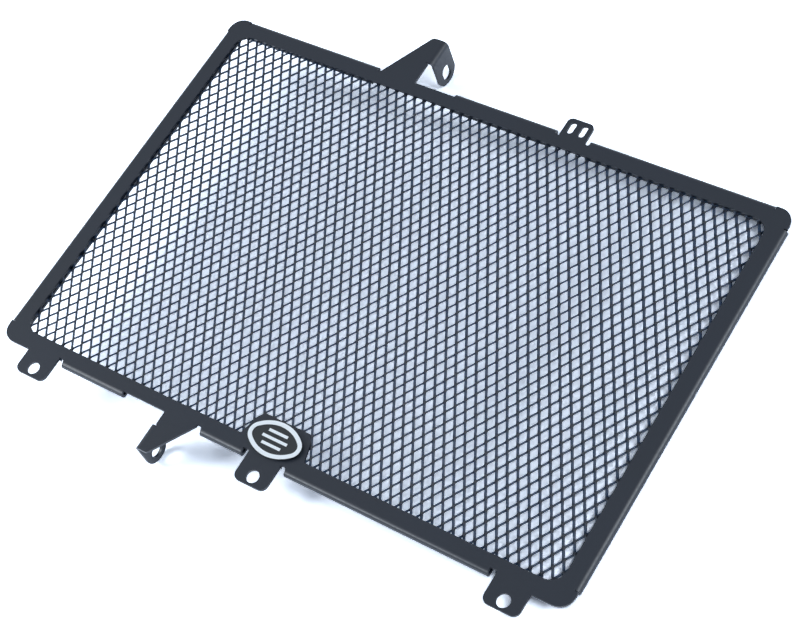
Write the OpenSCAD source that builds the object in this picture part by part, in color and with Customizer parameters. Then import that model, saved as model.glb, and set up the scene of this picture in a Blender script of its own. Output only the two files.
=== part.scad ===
// Radiator guard for a motorcycle: a folded sheet border holding a sheet of expanded metal.
// It lies face up. X runs along its lower edge, Y up across it, and Z out of its front face.

/* [Plate] */
// Width between the bend lines of the two side hems
plate_w = 344.3; // [320:0.1:420]
// Height between the bend lines of the upper and lower hems
plate_h = 225.9; // [190:0.1:280]
// Thickness of the border's sheet
sheet_t = 1.5; // [1:0.1:2]
// Width of the border at the two sides
side_border = 7.8; // [7:0.1:12]
// Width of the border along the top
top_border = 7.7; // [7:0.1:12]
// Width of the border along the bottom
bottom_border = 7.5; // [7:0.1:12]
// Radius of the border's outer corners
corner_r = 8; // [5:0.5:12]
// Radius of the window's corners
window_r = 8; // [3:0.5:10]
// How far a flat edge stands out past the bend lines
lip = 2; // [0.5:0.1:2.4]

/* [Hems] */
// Width of the strip folded back behind the border
flap_w = 6.8; // [5:0.1:6.9]
// Flat length left at each corner before a hem starts
corner_flat = 9; // [8.5:0.5:16]
// Width of the slit that frees the end of a hem at a corner
slit_w = 0.5; // [0.4:0.1:2]
// Depth of the notch beside a tab or bracket
notch_d = 1.2; // [0.6:0.1:2]
// Width of the notch on the right of a tab or bracket
notch_right = 3.3; // [2.4:0.1:4.5]
// Width of the notch on the left of a tab
notch_left = 3.8; // [2:0.1:6]
// Length of the first lower hem, which stops short of the lower bracket
first_hem_l = 41.5; // [30:0.5:55]
// Unfolded length of the upper edge on the right of the upper bracket
plain_edge_l = 26; // [10:0.5:40]

/* [Lower tabs] */
// Distance from the left bend line to the nearest tab's hole
left_tab_x = 28.2; // [24:0.1:34]
// Distance from the left bend line to the middle tab's hole
mid_tab_x = 174; // [166:0.1:180]
// Distance from the right bend line to the nearest tab's hole
right_tab_x = 26.7; // [24:0.1:34]
// Width of a tab
tab_w = 19.6; // [17:0.1:24]
// Reach of a tab below the bend line
tab_reach = 14.9; // [14:0.1:20]
// Radius of a tab's free corners
tab_r = 3.8; // [1:0.1:6]
// Diameter of a tab's hole, which clears an M6 bolt
tab_hole_d = 7; // [5:0.1:8]
// Depth of the hole's centre below the bend line
tab_hole_y = 10; // [9.3:0.1:10.6]

/* [Upper tab] */
// Distance from the left bend line to the middle of the tab
slot_tab_x = 221.1; // [205:0.1:235]
// Width of the tab
slot_tab_w = 15.4; // [14:0.1:20]
// Reach of the tab above the bend line
slot_tab_reach = 11.4; // [10.5:0.1:14]
// Radius of the tab's free corners
slot_tab_r = 3; // [1:0.1:4]
// Distance between the tab's two slots
slot_pitch = 6.8; // [5.5:0.1:8]
// Width of a slot
slot_w = 3.3; // [2.5:0.1:4.5]
// Length of a slot
slot_l = 7.4; // [5:0.1:8]
// Height of the slots' middle above the bend line
slot_y = 5.6; // [5:0.1:6]

/* [Lower bracket] */
// Distance from the left bend line to the arm's straight side
low_arm_x = 110.7; // [100:0.1:120]
// Width of the arm at its root
low_root_w = 20.4; // [18:0.1:26]
// Width of the arm at its tip
low_tip_w = 4.8; // [3:0.1:9]
// Reach of the arm below the bend line
low_reach = 23.2; // [20:0.1:28]
// Width of the bent end
low_flange_w = 14.7; // [14:0.1:16]
// Depth of the bent end behind the front face
low_drop = 24.1; // [22.6:0.1:28]
// Diameter of the hole in the bent end
low_hole_d = 7.4; // [5:0.1:8]
// Depth of that hole's centre behind the front face
low_hole_z = 17.3; // [14:0.1:18]

/* [Upper bracket] */
// Distance from the left bend line to the arm's straight side
up_arm_x = 122.3; // [112:0.1:132]
// Width of the arm at its root
up_root_w = 22.3; // [20:0.1:28]
// Width of the arm at its tip
up_tip_w = 6.2; // [5:0.1:12]
// Reach of the arm above the bend line
up_reach = 30.5; // [26:0.1:36]
// Width of the bent end
up_flange_w = 16; // [14:0.1:18]
// Depth of the bent end behind the front face
up_drop = 24.4; // [22:0.1:28]
// Width of the slot in the bent end
up_slot_w = 7; // [5:0.1:8]
// Length of that slot
up_slot_l = 10.2; // [8.5:0.1:12]
// Depth of the slot's middle behind the front face
up_slot_z = 17; // [16:0.1:18]

/* [Bracket bends] */
// Inner radius of the bends where the brackets turn back
bend_r = 1.4; // [0.5:0.1:2]
// Radius of the corners of the bent ends
flange_r = 7; // [4:0.1:7.3]

/* [Badge pad] */
// Width of the pad where it leaves the border
pad_base_w = 39; // [37:0.5:46]
// Width of the pad at its shoulders
pad_shoulder_w = 33.2; // [32:0.1:36]
// Width of the pad's straight top
pad_top_w = 27.6; // [25:0.1:31]
// Height of the shoulders above the lower bend line
pad_shoulder_y = 18.3; // [16:0.1:21]
// Height of the pad's top above the lower bend line
pad_top_y = 21.8; // [21.2:0.1:26]

/* [Badge] */
// Length of the oval badge
badge_l = 31; // [26:0.5:32]
// Width of the oval badge
badge_w = 19.2; // [17:0.1:20]
// Thickness of the badge, rim included
badge_t = 2; // [1.4:0.1:3]
// Radius of the oval's two ends
badge_end_r = 6; // [4.5:0.1:7]
// Width of the raised rim
rim_w = 2.2; // [1.2:0.1:3]
// Height of the rim and bars above the badge's field
rim_h = 0.4; // [0.2:0.1:0.8]
// Height of the badge's middle above the lower bend line
badge_y = 10.9; // [10.6:0.1:11.3]
// Length of the longest bar on the field
bar_l = 15; // [10:0.5:17]
// Width of a bar
bar_w = 1.5; // [0.8:0.1:2]
// Distance between neighbouring bars
bar_pitch = 3.6; // [3:0.1:4]

/* [Mesh] */
// Pitch of the openings along Y, the long way of an opening
mesh_long = 10; // [8:0.5:14]
// Pitch of the openings along X, the short way of an opening
mesh_short = 6; // [4.8:0.1:9]
// Width of a strand
strand_w = 1; // [0.7:0.1:1.4]
// Thickness of the expanded sheet
mesh_t = 2; // [1.2:0.1:2.4]
// Play of the mesh's edge between the border and the folded strip
mesh_play = 0.1; // [0.05:0.05:0.3]
// Gap between the bend lines and the mesh's cut edge
mesh_inset = 0.4; // [0.2:0.1:1]
// Width of the mesh's pressed edge, which the hems hold
mesh_edge_w = 5; // [3:0.1:6]

/* [Hidden] */
$fn = 64;
arc_steps = 6;
past = 1; // how far a cut runs past what it cuts

// Bends
fold_gap = mesh_t + mesh_play;
hem_in = fold_gap / 2;
hem_out = hem_in + sheet_t;
bend_out = bend_r + sheet_t;

// Places along the lower edge
tab_xs = [left_tab_x, mid_tab_x, plate_w - right_tab_x];
low_root_x = low_arm_x + low_root_w;
low_flange_top = low_flange_w - low_reach;
first_hem_x = tab_xs[0] + tab_w / 2 + notch_right;
low_hems = [
    [first_hem_x, first_hem_x + first_hem_l],
    [low_root_x + notch_right, tab_xs[1] - tab_w / 2 - notch_left],
    [tab_xs[1] + tab_w / 2 + notch_right, tab_xs[2] - tab_w / 2 - notch_left]
];

// Places along the upper edge
up_root_x = up_arm_x - up_root_w;
up_flange_foot = plate_h + up_reach - up_flange_w;
slot_tab_left = slot_tab_x - slot_tab_w / 2;
slot_tab_right = slot_tab_x + slot_tab_w / 2;
up_hems = [
    [corner_flat, up_root_x - notch_right + notch_d / 2],
    [up_arm_x + plain_edge_l, slot_tab_left - notch_left + notch_d],
    [slot_tab_right + notch_left - notch_d, plate_w - corner_flat]
];
side_hem_l = plate_h - 2 * corner_flat;

// Expanded metal: two families of straight strands, one behind the other
strand_run = norm([mesh_short, mesh_long]);
strand_pitch = mesh_short * mesh_long / strand_run;
strand_tilt = atan2(mesh_short, mesh_long);
strand_t = mesh_t / 2;
layer_gap = mesh_t / 20;
mesh_w = plate_w - 2 * mesh_inset;
mesh_h = plate_h - 2 * mesh_inset;
mesh_corner = corner_r * 0.6;

// The point midway between the outer lower holes, on the front face, is the model's origin
origin = [(tab_xs[0] + tab_xs[2]) / 2, -tab_hole_y, 0];

function unit(v) = v / norm(v);
function wrapped(a) = a > 180 ? a - 360 : a < -180 ? a + 360 : a;
function on_circle(centre, r, a) = centre + r * [cos(a), sin(a)];

// One corner of an outline, as an arc that meets both of its sides
function corner(before, at, after, r) =
    r <= 0 ? [at] :
    let (
        back = unit(before - at),
        ahead = unit(after - at),
        half = acos(back * ahead) / 2,
        centre = at + unit(back + ahead) * r / sin(half),
        first = at + back * r / tan(half) - centre,
        last = at + ahead * r / tan(half) - centre,
        start = atan2(first[1], first[0]),
        sweep = wrapped(atan2(last[1], last[0]) - start)
    )
    [for (i = [0:arc_steps]) on_circle(centre, r, start + sweep * i / arc_steps)];

// An outline with each corner rounded to its own radius
function rounded(points, radii) =
    let (n = len(points))
    [for (i = [0:n - 1])
        each corner(points[(i + n - 1) % n], points[i], points[(i + 1) % n], radii[i])];

module box_2d(x0, y0, x1, y1) {
    translate([x0, y0]) square([x1 - x0, y1 - y0]);
}

module rounded_box_2d(x0, y0, x1, y1, r) {
    polygon(rounded([[x0, y0], [x1, y0], [x1, y1], [x0, y1]], [r, r, r, r]));
}

module slot_2d(w, l) {
    square([w, l - w], center = true);
    for (end = [-1, 1]) translate([0, end * (l - w) / 2]) circle(d = w);
}

// Border with its flat corners, cut back to the bend lines between them
module border_2d() {
    difference() {
        rounded_box_2d(-lip, -lip, plate_w + lip, plate_h + lip, corner_r);
        box_2d(tab_xs[0], -lip - past, tab_xs[2], 0);
        box_2d(corner_flat - slit_w, plate_h, plate_w - corner_flat + slit_w, plate_h + lip + past);
        for (x = [-lip - past, plate_w])
            box_2d(x, corner_flat - slit_w, x + lip + past, plate_h - corner_flat + slit_w);
    }
}

module window_2d() {
    middle = tab_xs[1];
    difference() {
        rounded_box_2d(
            side_border, bottom_border, plate_w - side_border, plate_h - top_border, window_r
        );
        polygon([
            [middle - pad_base_w / 2, bottom_border],
            [middle - pad_shoulder_w / 2, pad_shoulder_y],
            [middle - pad_top_w / 2, pad_top_y],
            [middle + pad_top_w / 2, pad_top_y],
            [middle + pad_shoulder_w / 2, pad_shoulder_y],
            [middle + pad_base_w / 2, bottom_border],
            [middle + pad_base_w / 2, bottom_border - past],
            [middle - pad_base_w / 2, bottom_border - past]
        ]);
    }
}

module lower_tab_2d(x) {
    left = x - tab_w / 2;
    right = x + tab_w / 2;
    polygon(rounded(
        [[left, -tab_reach], [right, -tab_reach], [right, past], [left, past]],
        [tab_r, tab_r, 0, 0]
    ));
}

module upper_tab_2d() {
    root = plate_h - past;
    top = plate_h + slot_tab_reach;
    polygon(rounded(
        [[slot_tab_left, root], [slot_tab_right, root], [slot_tab_right, top], [slot_tab_left, top]],
        [0, 0, slot_tab_r, slot_tab_r]
    ));
}

// Arm of the lower bracket: straight on the left, slanted on the right
module lower_arm_2d() {
    polygon(rounded(
        [
            [low_arm_x, past], [low_arm_x, -low_reach],
            [low_arm_x + low_tip_w, -low_reach], [low_root_x, 0], [low_root_x, past]
        ],
        [0, 0, 1.5, 0, 0]
    ));
}

// Arm of the upper bracket: slanted on the left, straight on the right
module upper_arm_2d() {
    top = plate_h + up_reach;
    polygon(rounded(
        [
            [up_root_x, plate_h - past], [up_arm_x, plate_h - past],
            [up_arm_x, top], [up_arm_x - up_tip_w, top], [up_root_x, plate_h]
        ],
        [0, 0, 0, 3, 0]
    ));
}

// Notches that free the ends of the hems beside tabs and brackets
module notches_2d() {
    for (x = [for (hem = low_hems) hem[0] - notch_right])
        polygon([
            [x, -past], [x, notch_d], [x + notch_right - notch_d, notch_d],
            [x + notch_right, 0], [x + notch_right, -past]
        ]);
    for (hem = [low_hems[1], low_hems[2]]) box_2d(hem[1], -past, hem[1] + notch_left, notch_d);
    box_2d(up_hems[0][1], plate_h - notch_d / 2, up_root_x, plate_h + past);
    for (span = [[up_hems[1][1], slot_tab_left], [slot_tab_right, up_hems[2][0]]])
        polygon([
            [span[0], plate_h + past], [span[0], plate_h],
            [span[0] + notch_d, plate_h - notch_d], [span[1] - notch_d / 2, plate_h - notch_d],
            [span[1], plate_h - notch_d / 2], [span[1], plate_h + past]
        ]);
    box_2d(low_arm_x - past, low_flange_top, low_arm_x + notch_d / 2, low_flange_top + slit_w);
    box_2d(up_arm_x - notch_d, up_flange_foot - slit_w, up_arm_x + past, up_flange_foot);
}

module holes_2d() {
    for (x = tab_xs) translate([x, -tab_hole_y]) circle(d = tab_hole_d);
    for (side = [-1, 1])
        translate([slot_tab_x + side * slot_pitch / 2, plate_h + slot_y]) slot_2d(slot_w, slot_l);
}

module plate() {
    translate([0, 0, -sheet_t]) linear_extrude(sheet_t) difference() {
        union() {
            border_2d();
            for (x = tab_xs) lower_tab_2d(x);
            upper_tab_2d();
            lower_arm_2d();
            upper_arm_2d();
        }
        window_2d();
        notches_2d();
        holes_2d();
    }
}

// A hem along X from 0 to its length: the sheet turns through half a circle and runs back behind the border.
// It starts a little inside the plate, as the bent ends do, so that both are one sheet.
module hem(length) {
    rotate([90, 0, 90]) linear_extrude(length) {
        box_2d(0, -sheet_t, past, 0);
        translate([0, -hem_out]) difference() {
            circle(hem_out);
            circle(hem_in);
            box_2d(0, -hem_out - past, hem_out + past, hem_out + past);
        }
        box_2d(0, -hem_out - hem_in - sheet_t, flap_w, -hem_out - hem_in);
    }
}

module hems() {
    for (span = low_hems) translate([span[0], 0, 0]) hem(span[1] - span[0]);
    for (span = up_hems) translate([span[1], plate_h, 0]) rotate([0, 0, 180]) hem(span[1] - span[0]);
    translate([0, plate_h - corner_flat, 0]) rotate([0, 0, -90]) hem(side_hem_l);
    translate([plate_w, corner_flat, 0]) rotate([0, 0, 90]) hem(side_hem_l);
}

// A bent end on the line X = 0: it turns back through a quarter circle, and its strip of width w runs down.
// The child is the hole in it, drawn with X as the depth behind the front face.
module bent_end(w, drop) {
    rotate([-90, 0, 0]) linear_extrude(w) {
        box_2d(-past, 0, 0, sheet_t);
        translate([0, bend_out]) difference() {
            circle(bend_out);
            circle(bend_r);
            box_2d(-bend_out - past, -bend_out - past, 0, bend_out + past);
            box_2d(-past, 0, bend_out + past, bend_out + past);
        }
    }
    difference() {
        translate([bend_r, 0, 0]) rotate([0, 90, 0]) linear_extrude(sheet_t)
            polygon(rounded([[bend_out, 0], [drop, 0], [drop, w], [bend_out, w]], [0, flange_r, flange_r, 0]));
        translate([bend_r - past, w / 2, 0]) rotate([0, 90, 0]) linear_extrude(sheet_t + 2 * past)
            children();
    }
}

module brackets() {
    translate([low_arm_x, low_flange_top, 0]) rotate([0, 0, 180]) bent_end(low_flange_w, low_drop)
        translate([low_hole_z, 0]) circle(d = low_hole_d);
    translate([up_arm_x, up_flange_foot, 0]) bent_end(up_flange_w, up_drop)
        translate([up_slot_z, 0]) rotate(90) slot_2d(up_slot_w, up_slot_l);
}

module frame() {
    color("#33373f") translate(-origin) {
        plate();
        hems();
        brackets();
    }
}

// Outline of the mesh, with its corners cut off behind the border's rounded ones
module mesh_outline_2d() {
    polygon([
        [mesh_corner, 0], [mesh_w - mesh_corner, 0], [mesh_w, mesh_corner], [mesh_w, mesh_h - mesh_corner],
        [mesh_w - mesh_corner, mesh_h], [mesh_corner, mesh_h], [0, mesh_h - mesh_corner], [0, mesh_corner]
    ]);
}

// The part of the mesh inside its pressed edge
module mesh_middle_2d() {
    box_2d(mesh_edge_w, mesh_edge_w, mesh_w - mesh_edge_w, mesh_h - mesh_edge_w);
}

// One family of strands: a wall whose slanted gaps leave the strands standing. side is 1 or -1.
module strands_2d(side) {
    reach = mesh_w + mesh_h;
    count = ceil(reach / strand_pitch / 2);
    difference() {
        mesh_outline_2d();
        intersection() {
            mesh_middle_2d();
            translate([mesh_w / 2, mesh_h / 2]) rotate(side * strand_tilt)
                for (i = [-count:count]) translate([i * strand_pitch, 0])
                    square([strand_pitch - strand_w, reach], center = true);
        }
    }
}

// The pressed edge joins the two families of strands into one sheet
module mesh() {
    layer_t = strand_t - layer_gap / 2;
    color("#2b2f36") translate(-origin) translate([mesh_inset, mesh_inset, -sheet_t - mesh_t]) {
        linear_extrude(layer_t) strands_2d(-1);
        translate([0, 0, mesh_t - layer_t]) linear_extrude(layer_t) strands_2d(1);
        linear_extrude(mesh_t) difference() {
            mesh_outline_2d();
            mesh_middle_2d();
        }
    }
}

// An oval of four arcs, made smaller all round by inset
module oval(inset) {
    half_l = badge_l / 2 - inset;
    half_w = badge_w / 2 - inset;
    end_r = badge_end_r - inset;
    end_x = half_l - end_r;
    side_r = (pow(end_x, 2) + pow(half_w, 2) - pow(end_r, 2)) / (2 * (half_w - end_r));
    join_x = end_x * side_r / (side_r - end_r);
    intersection() {
        translate([0, half_w - side_r]) circle(side_r);
        translate([0, side_r - half_w]) circle(side_r);
        square([2 * join_x, 2 * side_r], center = true);
    }
    for (side = [-1, 1]) translate([side * end_x, 0]) circle(end_r);
}

module badge() {
    color("#d9dce0") translate(-origin) translate([tab_xs[1], badge_y, 0]) {
        linear_extrude(badge_t - rim_h) oval(0);
        linear_extrude(badge_t) difference() {
            oval(0);
            oval(rim_w);
        }
        linear_extrude(badge_t) for (i = [-1:1])
            translate([0, i * bar_pitch]) square([bar_l - abs(i) * bar_pitch, bar_w], center = true);
    }
}

frame();
mesh();
badge();
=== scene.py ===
import math

import bmesh
import bpy
from bmesh.types import BMEdge, BMVert
from mathutils import Matrix, Vector


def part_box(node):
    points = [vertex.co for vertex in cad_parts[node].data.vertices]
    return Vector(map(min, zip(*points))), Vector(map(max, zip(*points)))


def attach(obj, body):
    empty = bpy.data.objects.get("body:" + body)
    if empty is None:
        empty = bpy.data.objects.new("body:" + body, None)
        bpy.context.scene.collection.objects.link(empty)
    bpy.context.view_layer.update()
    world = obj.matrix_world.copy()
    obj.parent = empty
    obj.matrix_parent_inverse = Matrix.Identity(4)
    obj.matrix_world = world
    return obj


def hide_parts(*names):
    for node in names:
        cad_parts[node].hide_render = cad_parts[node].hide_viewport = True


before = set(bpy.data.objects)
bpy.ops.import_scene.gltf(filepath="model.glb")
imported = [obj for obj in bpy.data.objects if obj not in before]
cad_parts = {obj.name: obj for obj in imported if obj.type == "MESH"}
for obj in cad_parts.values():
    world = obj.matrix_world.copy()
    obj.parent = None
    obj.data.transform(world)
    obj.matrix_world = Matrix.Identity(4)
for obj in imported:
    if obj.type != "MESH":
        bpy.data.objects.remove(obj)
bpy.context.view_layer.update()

MM = 0.001
SHEET_LOW, SHEET_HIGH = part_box("mesh")
SHEET_MIDDLE_Z = (SHEET_LOW.z + SHEET_HIGH.z) / 2
BADGE_FACE_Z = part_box("badge")[1].z


# Camera, at the place and turn worked out from the photograph

SENSOR_WIDTH = 36
FOCAL_LENGTH = 81.17
CAMERA_PLACE = Vector((0.4279, -0.1914, 0.7476))
CAMERA_RIGHT = Vector((0.8215, 0.5167, -0.2410))
CAMERA_BACK = Vector((0.4517, -0.3319, 0.8281))
CLIP_START, CLIP_END = 0.05, 20


def make_camera():
    data = bpy.data.cameras.new("camera")
    data.sensor_width = SENSOR_WIDTH
    data.lens = FOCAL_LENGTH
    data.clip_start = CLIP_START
    data.clip_end = CLIP_END
    camera = bpy.data.objects.new("camera", data)
    bpy.context.collection.objects.link(camera)
    camera_up = CAMERA_BACK.cross(CAMERA_RIGHT)
    turn = Matrix((CAMERA_RIGHT, camera_up, CAMERA_BACK)).transposed().to_4x4()
    camera.matrix_world = Matrix.Translation(CAMERA_PLACE) @ turn
    bpy.context.scene.camera = camera


# Materials

# Waves of the orange peel on a 70 micron coat, and how deep they look
PEEL = 1.1 * MM
PEEL_DEPTH = 0.15 * MM
# Slow change of the powder's film thickness and shade
FILM = 60 * MM
# Grains in the mesh's coat, and how deep they look
GRIT = 0.8 * MM
GRIT_DEPTH = 0.1 * MM
# Width of the satin lines along the badge, coarser than real brushing so that they show, and how many
# times longer than wide they are
SATIN_LINE = 0.4 * MM
SATIN_RUN = 20
# Depth below the badge's face at which the enamel field starts
ENAMEL_DEPTH = 0.2 * MM

# A Mix node that mixes colours has its factor, its two colours and its result at these sockets
COLOUR_MIX = {"data_type": "RGBA"}
FACTOR, FIRST, SECOND = 0, 6, 7
MIXED = 2


def linear(code):
    """An sRGB hex colour as linear red, green, blue and alpha."""
    parts = [int(code[i : i + 2], 16) / 255 for i in (1, 3, 5)]
    return tuple(c / 12.92 if c <= 0.04045 else ((c + 0.055) / 1.055) ** 2.4 for c in parts) + (1,)


def add_node(tree, kind, settings=None, inputs=None):
    """A node with its settings and inputs. An input is a value, or a node with the name of its output."""
    node = tree.nodes.new(kind)
    for name, value in (settings or {}).items():
        setattr(node, name, value)
    for name, value in (inputs or {}).items():
        socket = node.inputs[name]
        if isinstance(value, tuple) and isinstance(value[0], bpy.types.Node):
            source, output = value
            tree.links.new(source.outputs[output], socket)
        else:
            socket.default_value = value
    return node


def new_material(name):
    material = bpy.data.materials.new(name)
    material.use_nodes = True
    material.node_tree.nodes.clear()
    return material, material.node_tree


def powder_coat():
    """Satin black polyester powder on aluminium: orange peel from the melted powder breaks up reflections."""
    material, tree = new_material("satin_black_powder_coat")
    place = add_node(tree, "ShaderNodeTexCoord")
    peel = add_node(
        tree,
        "ShaderNodeTexNoise",
        inputs={"Vector": (place, "Object"), "Scale": 1 / PEEL, "Detail": 3.0, "Roughness": 0.55},
    )
    film = add_node(
        tree, "ShaderNodeTexNoise", inputs={"Vector": (place, "Object"), "Scale": 1 / FILM, "Detail": 2.0}
    )
    shade = add_node(
        tree,
        "ShaderNodeMix",
        COLOUR_MIX,
        {FACTOR: (film, "Fac"), FIRST: linear("#06101c"), SECOND: linear("#0d1828")},
    )
    # The peel's crests are a little duller than its hollows
    dullness = add_node(
        tree,
        "ShaderNodeMapRange",
        inputs={"Value": (peel, "Fac"), "From Min": 0.35, "From Max": 0.65, "To Min": 0.36, "To Max": 0.46},
    )
    bump = add_node(
        tree, "ShaderNodeBump", inputs={"Height": (peel, "Fac"), "Strength": 0.18, "Distance": PEEL_DEPTH}
    )
    coat = add_node(
        tree,
        "ShaderNodeBsdfPrincipled",
        inputs={
            "Base Color": (shade, MIXED),
            "Roughness": (dullness, "Result"),
            "Normal": (bump, "Normal"),
            "IOR": 1.46,
        },
    )
    add_node(tree, "ShaderNodeOutputMaterial", inputs={"Surface": (coat, "BSDF")})
    return material


def mesh_coat():
    """Black coat on expanded aluminium: duller than the border's, with painted shade where the strands meet.
    """
    material, tree = new_material("black_coated_expanded_aluminium")
    place = add_node(tree, "ShaderNodeTexCoord")
    grit = add_node(
        tree, "ShaderNodeTexNoise", inputs={"Vector": (place, "Object"), "Scale": 1 / GRIT, "Detail": 2.0}
    )
    strand = add_node(
        tree,
        "ShaderNodeMix",
        COLOUR_MIX,
        {FACTOR: (grit, "Fac"), FIRST: linear("#182c42"), SECOND: linear("#2b4260")},
    )
    # Painted shade: the colour turns almost black where the strands meet, standing in for the shade that
    # falls on the bonds
    bond = add_node(tree, "ShaderNodeAttribute", {"attribute_name": "bond"})
    shade = add_node(
        tree,
        "ShaderNodeMix",
        COLOUR_MIX,
        {FACTOR: (bond, "Fac"), FIRST: (strand, MIXED), SECOND: linear("#050e1b")},
    )
    bump = add_node(
        tree, "ShaderNodeBump", inputs={"Height": (grit, "Fac"), "Strength": 0.15, "Distance": GRIT_DEPTH}
    )
    # Below the IOR of 1.5 that coats usually have, because the real strands shine little
    coat = add_node(
        tree,
        "ShaderNodeBsdfPrincipled",
        inputs={"Base Color": (shade, MIXED), "Roughness": 0.5, "Normal": (bump, "Normal"), "IOR": 1.34},
    )
    add_node(tree, "ShaderNodeOutputMaterial", inputs={"Surface": (coat, "BSDF")})
    return material


def badge_metal():
    """Bright satin aluminium rim and bars over a black enamel field, told apart by height."""
    material, tree = new_material("satin_aluminium_and_black_enamel")
    place = add_node(tree, "ShaderNodeTexCoord")
    height = add_node(tree, "ShaderNodeSeparateXYZ", inputs={"Vector": (place, "Object")})
    lines = add_node(
        tree, "ShaderNodeMapping", inputs={"Vector": (place, "Object"), "Scale": (1 / SATIN_RUN, 1.0, 1.0)}
    )
    grain = add_node(
        tree,
        "ShaderNodeTexNoise",
        inputs={"Vector": (lines, "Vector"), "Scale": 1 / SATIN_LINE, "Detail": 2.0},
    )
    satin = add_node(
        tree,
        "ShaderNodeMix",
        COLOUR_MIX,
        {FACTOR: (grain, "Fac"), FIRST: linear("#dde5ec"), SECOND: linear("#e9f0f6")},
    )
    raised = add_node(
        tree,
        "ShaderNodeMath",
        {"operation": "GREATER_THAN"},
        {0: (height, "Z"), 1: BADGE_FACE_Z - ENAMEL_DEPTH},
    )
    colour = add_node(
        tree,
        "ShaderNodeMix",
        COLOUR_MIX,
        {FACTOR: (raised, "Value"), FIRST: linear("#0b1319"), SECOND: (satin, MIXED)},
    )
    # The rim and bars scatter light almost as paint does, so they stay bright from every side
    metal = add_node(tree, "ShaderNodeMath", {"operation": "MULTIPLY"}, {0: (raised, "Value"), 1: 0.2})
    surface = add_node(
        tree,
        "ShaderNodeBsdfPrincipled",
        inputs={"Base Color": (colour, MIXED), "Metallic": (metal, "Value"), "Roughness": 0.35},
    )
    add_node(tree, "ShaderNodeOutputMaterial", inputs={"Surface": (surface, "BSDF")})
    return material


def finish_node(node, material):
    """Gives a CAD node its finish. Its shape and place stay as they are."""
    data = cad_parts[node].data
    data.materials.clear()
    data.materials.append(material)


# Expanded mesh: a sheet slit in rows and stretched, so that leaning strands meet in short bonds

# Pitch of the openings along their long and short ways
LONG, SHORT = 10 * MM, 6 * MM
# Width of a strand, thickness of the sheet, and length of a bond along the long way
STRAND = 1.5 * MM
GAUGE = 1.0 * MM
BOND = 0.8 * MM
# How far the strands and bonds lean over from lying flat
LEAN = math.radians(50)
# Faces along a strand, and how much of its way across is an S instead of a straight line
STEPS = 3
S_SHARE = 0.05
# Points nearer than this are taken to be in line, and strand tips nearer than this join their bond
IN_LINE = 0.0001 * MM
JOIN = 0.02 * MM
# Cells made beyond those that fit the sheet, and how many of them lie left of it and below it
SPARE_CELLS = 3
CELLS_LEFT, CELLS_BELOW = 2, 1
# Each corner of the sheet is cut off at 45 degrees, this far along both its edges
CORNER = 4.8 * MM
# How far in from the sheet's edges the border covers it at the sides, below and above
COVER_SIDE, COVER_BELOW, COVER_ABOVE = 7.4 * MM, 7.1 * MM, 7.3 * MM
# Share of their height that the strands keep where the hems hold them, how far under the border's edge
# it starts to grow, and the distance over which it reaches the whole
PRESSED = 0.15
PRESS_START = 0.5 * MM
PRESS_RUN = 3 * MM
# The stretched sheet strays a little from a square lattice. Each pair of values says how far, in
# millimetres across and along the guard. u and v are the place across and along, counted from a point near
# the sheet's middle in units of 100 mm.
STRAY_X, STRAY_Y = -1.6 * MM, 123 * MM
STRAY_UNIT = 100 * MM
# Shift of the whole lattice, and its stretch and turn for each u and v
SHIFT = (-0.54, -3.44)
TURN_U = (-0.917, -0.982)
TURN_V = (0.763, 0.346)
# Bow of its rows and columns, for the squares and cubes of u and v. It takes in the lens's own bow.
BOW_UU = (-0.49, 0.268)
BOW_UV = (-0.03, 0.106)
BOW_VV = (-0.016, 0.107)
BOW_UUU = (0.529, -0.104)
BOW_UUV = (0.278, 0.138)
BOW_UVV = (0.465, -0.14)
BOW_VVV = (-0.273, 0.107)


def way_across(share):
    """The share of its way across that a strand has gone at a share of its length, in a slight S."""
    return share * share * (3 - 2 * share) * S_SHARE + share * (1 - S_SHARE)


def strand_cell():
    """One bond with its four strands, and the bond that fills the middle of the cell."""
    bm = bmesh.new()
    # Where the painted shade goes: 1 on the bonds and on the strand ends that meet them, 0 elsewhere
    bond_shade_layer = bm.verts.layers.float.new("bond")
    lean = Matrix.Rotation(-LEAN, 4, "Y")
    strand_width = lean @ Vector((STRAND, 0, 0))
    # A grid of size 0.5 is a metre wide, so its scale is the bond's own width and length
    for centre in (Vector((0, 0, 0)), Vector((SHORT / 2, LONG / 2, 0))):
        corners = bmesh.ops.create_grid(bm, x_segments=2, y_segments=1, size=0.5)["verts"]
        bmesh.ops.scale(bm, verts=corners, vec=(2 * STRAND, BOND, 1))
        bmesh.ops.transform(bm, verts=corners, matrix=Matrix.Translation(centre) @ lean)
    for v in bm.verts:
        v[bond_shade_layer] = 1
    for half in (1, -1):
        for end in (1, -1):
            # Each half of a bond's end carries a strand, which crosses to the facing half of the next bond
            tips = [
                e
                for e in bm.edges
                if all(abs(v.co.y - end * BOND / 2) < IN_LINE and v.co.x * half > -IN_LINE for v in e.verts)
            ]
            reach = Vector((half * SHORT / 2, end * (LONG / 2 - BOND), 0)) - half * strand_width
            for step in range(STEPS):
                across = way_across((step + 1) / STEPS) - way_across(step / STEPS)
                new = bmesh.ops.extrude_edge_only(bm, edges=tips)["geom"]
                moved = [g for g in new if isinstance(g, BMVert)]
                tips = [g for g in new if isinstance(g, BMEdge) and all(v in moved for v in g.verts)]
                move = (reach.x * across, reach.y / STEPS, reach.z * across)
                bmesh.ops.translate(bm, verts=moved, vec=move)
                for v in moved:
                    v[bond_shade_layer] = float(step == STEPS - 1)
    return bm


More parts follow.
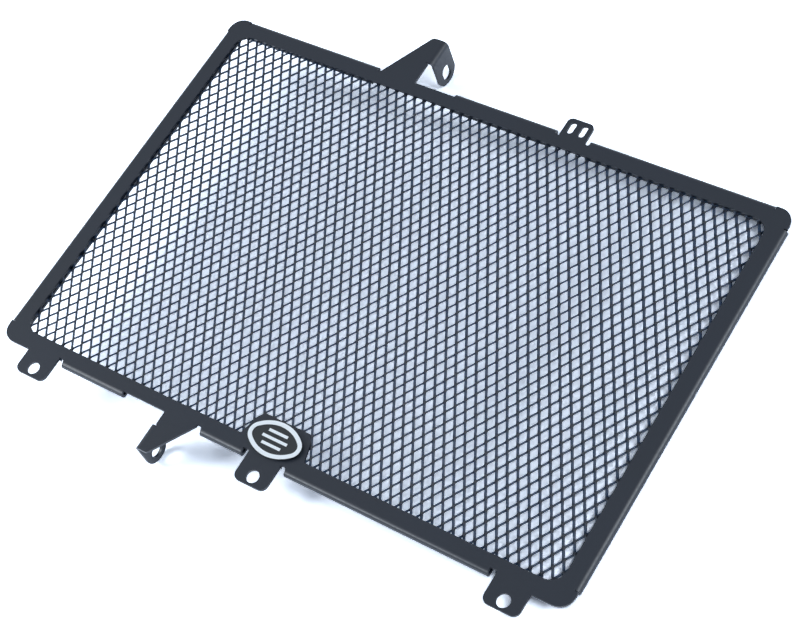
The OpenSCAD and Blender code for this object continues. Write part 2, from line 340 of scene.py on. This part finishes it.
def stray(place):
    """How far the sheet strays from a square lattice at a place: across and along, in metres."""
    u = (place.x - STRAY_X) / STRAY_UNIT
    v = (place.y - STRAY_Y) / STRAY_UNIT
    terms = (
        (SHIFT, 1),
        (TURN_U, u),
        (TURN_V, v),
        (BOW_UU, u * u),
        (BOW_UV, u * v),
        (BOW_VV, v * v),
        (BOW_UUU, u**3),
        (BOW_UUV, u * u * v),
        (BOW_UVV, u * v * v),
        (BOW_VVV, v**3),
    )
    return [MM * sum(amount[way] * power for amount, power in terms) for way in (0, 1)]


def repeat_cell(piece):
    """The piece's cell in columns and rows, joined into one sheet that is larger than it has to be."""
    columns = math.ceil((SHEET_HIGH.x - SHEET_LOW.x) / SHORT) + SPARE_CELLS
    rows = math.ceil((SHEET_HIGH.y - SHEET_LOW.y) / LONG) + SPARE_CELLS
    for name, count, step in (("columns", columns, (SHORT, 0, 0)), ("rows", rows, (0, LONG, 0))):
        array = piece.modifiers.new(name, "ARRAY")
        array.count = count
        array.use_relative_offset = False
        array.use_constant_offset = True
        array.constant_offset_displace = step
    repeated = piece.evaluated_get(bpy.context.evaluated_depsgraph_get())
    bm = bmesh.new()
    bm.from_mesh(repeated.to_mesh())
    piece.modifiers.clear()
    bmesh.ops.remove_doubles(bm, verts=bm.verts, dist=JOIN)
    bmesh.ops.recalc_face_normals(bm, faces=bm.faces)
    start = (SHEET_LOW.x - CELLS_LEFT * SHORT, SHEET_LOW.y - CELLS_BELOW * LONG, SHEET_MIDDLE_Z)
    bmesh.ops.translate(bm, verts=bm.verts, vec=start)
    return bm


def cut_to_outline(bm):
    """Cuts the sheet to its four edges, and then its corners off."""
    low, high = SHEET_LOW, SHEET_HIGH
    cuts = (
        ((low.x, 0), (-1, 0)),
        ((high.x, 0), (1, 0)),
        ((0, low.y), (0, -1)),
        ((0, high.y), (0, 1)),
        ((low.x + CORNER, low.y), (-1, -1)),
        ((high.x - CORNER, low.y), (1, -1)),
        ((low.x + CORNER, high.y), (-1, 1)),
        ((high.x - CORNER, high.y), (1, 1)),
    )
    for (x, y), (out_x, out_y) in cuts:
        whole = bm.verts[:] + bm.edges[:] + bm.faces[:]
        bmesh.ops.bisect_plane(
            bm, geom=whole, plane_co=(x, y, 0), plane_no=(out_x, out_y, 0), clear_outer=True
        )


def press_under_hems(bm):
    """The hems press the sheet flat where they hold it."""
    left, right = SHEET_LOW.x + COVER_SIDE, SHEET_HIGH.x - COVER_SIDE
    below, above = SHEET_LOW.y + COVER_BELOW, SHEET_HIGH.y - COVER_ABOVE
    for v in bm.verts:
        inside = min(v.co.x - left, v.co.y - below, right - v.co.x, above - v.co.y)
        free = min(max((inside + PRESS_START) / PRESS_RUN, 0), 1)
        v.co.z = SHEET_MIDDLE_Z + (v.co.z - SHEET_MIDDLE_Z) * (PRESSED + (1 - PRESSED) * free)


def make_mesh():
    cell = strand_cell()
    data = bpy.data.meshes.new("expanded_mesh")
    cell.to_mesh(data)
    cell.free()
    piece = bpy.data.objects.new("expanded_mesh", data)
    bpy.context.collection.objects.link(piece)
    bm = repeat_cell(piece)
    for v in bm.verts:
        across, along = stray(v.co)
        v.co.x += across
        v.co.y += along
    cut_to_outline(bm)
    press_under_hems(bm)
    bm.to_mesh(data)
    bm.free()
    wall = piece.modifiers.new("gauge", "SOLIDIFY")
    wall.thickness = GAUGE
    wall.offset = 0
    wall.use_even_offset = False
    data.materials.append(mesh_coat())
    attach(piece, "root")
    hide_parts("mesh")


# Floor and lights

# The guard rests on its two bent ends and one end of the right hem, so the floor slopes in its frame
FLOOR_UP = Vector((-0.08122, 0.00603, 0.99668)).normalized()
FLOOR_DEPTH = 18.97 * MM
FLOOR_HALF_WIDTH = 4
# What the floor gives back to the eye, as linear colours: white paper, and a lift that exposes it past
# white, so that only its shade keeps a colour, a clear pale blue
PAPER = (0.96, 0.97, 0.98, 1)
LIFT = (1.08, 1.20, 1.43, 1)
# Tint of the room, its light, and how bright its walls look
ROOM_TINT = (0.88, 0.94, 1.0, 1)
ROOM_LIGHT = 0.32
WALL_WHITE = 1.0
# Lamps hang at one distance from a point near the middle of the guard. Each has its name, the way to it,
# its size, watts and colour, and whether it lights surfaces or is only seen in reflections.
LAMP_AIM = Vector((0, 0.12, 0))
LAMP_DISTANCE = 1.5
LAMPS = (
    # Low on the left: skims the strands' broad sides, and slides the guard's shadow to the right
    ("left_lamp", (-0.751, -0.350, 0.559), 0.7, 12.9, (0.93, 0.97, 1.0), True),
    # In front and at the right side: give the lower and right hems their lines of light
    ("front_lamp", (-0.45, -0.70, 0.55), 0.6, 16.0, (0.84, 0.92, 1.0), False),
    ("side_lamp", (0.80, 0.33, 0.45), 0.6, 11.0, (0.84, 0.92, 1.0), False),
    # High on the right: shines along the strands
    ("right_lamp", (0.62, 0.10, 0.78), 0.8, 10.4, (0.90, 0.95, 1.0), True),
)


def seen_rays(tree):
    """1 for a ray from the camera or one that a shiny or clear surface sends on, and 0 for the rest."""
    rays = add_node(tree, "ShaderNodeLightPath")
    seen = (rays, "Is Camera Ray")
    for kind in ("Is Glossy Ray", "Is Transmission Ray"):
        either = add_node(tree, "ShaderNodeMath", {"operation": "MAXIMUM"}, {0: seen, 1: (rays, kind)})
        seen = (either, "Value")
    return seen


def make_floor():
    """White paper under the guard, which keeps its soft shadow."""
    bm = bmesh.new()
    bmesh.ops.create_grid(bm, x_segments=1, y_segments=1, size=FLOOR_HALF_WIDTH)
    turn = Vector((0, 0, 1)).rotation_difference(FLOOR_UP).to_matrix().to_4x4()
    bmesh.ops.transform(bm, verts=bm.verts, matrix=Matrix.Translation(FLOOR_UP * -FLOOR_DEPTH) @ turn)
    data = bpy.data.meshes.new("floor")
    bm.to_mesh(data)
    bm.free()
    floor = bpy.data.objects.new("floor", data)
    bpy.context.collection.objects.link(floor)
    material, tree = new_material("white_floor")
    plain = add_node(tree, "ShaderNodeBsdfDiffuse", inputs={"Color": linear("#f2f2f0")})
    paper = add_node(tree, "ShaderNodeBsdfDiffuse", inputs={"Color": PAPER})
    lift = add_node(tree, "ShaderNodeBsdfDiffuse", inputs={"Color": LIFT})
    bright = add_node(tree, "ShaderNodeAddShader", inputs={0: (paper, "BSDF"), 1: (lift, "BSDF")})
    mix = add_node(
        tree, "ShaderNodeMixShader", inputs={0: seen_rays(tree), 1: (plain, "BSDF"), 2: (bright, "Shader")}
    )
    add_node(tree, "ShaderNodeOutputMaterial", inputs={"Surface": (mix, "Shader")})
    data.materials.append(material)


def make_room():
    """An even pale room, whose walls look all but white."""
    world = bpy.data.worlds.new("room")
    bpy.context.scene.world = world
    world.use_nodes = True
    tree = world.node_tree
    tree.nodes.clear()
    room = add_node(tree, "ShaderNodeBackground", inputs={"Color": ROOM_TINT, "Strength": ROOM_LIGHT})
    wall = add_node(tree, "ShaderNodeBackground", inputs={"Color": ROOM_TINT, "Strength": WALL_WHITE})
    mix = add_node(
        tree,
        "ShaderNodeMixShader",
        inputs={0: seen_rays(tree), 1: (room, "Background"), 2: (wall, "Background")},
    )
    add_node(tree, "ShaderNodeOutputWorld", inputs={"Surface": (mix, "Shader")})


def make_lamps():
    for name, towards, size, watts, colour, lights_surfaces in LAMPS:
        lamp = bpy.data.lights.new(name, "AREA")
        lamp.shape = "DISK"
        lamp.size = size
        lamp.energy = watts
        lamp.color = colour
        holder = bpy.data.objects.new(name, lamp)
        bpy.context.collection.objects.link(holder)
        way = Vector(towards).normalized()
        holder.location = LAMP_AIM + way * LAMP_DISTANCE
        holder.rotation_euler = way.to_track_quat("Z", "Y").to_euler()
        holder.visible_diffuse = lights_surfaces


make_mesh()
finish_node("frame", powder_coat())
finish_node("badge", badge_metal())
make_camera()
make_floor()
make_room()
make_lamps()
bpy.context.scene.view_settings.view_transform = "Standard"
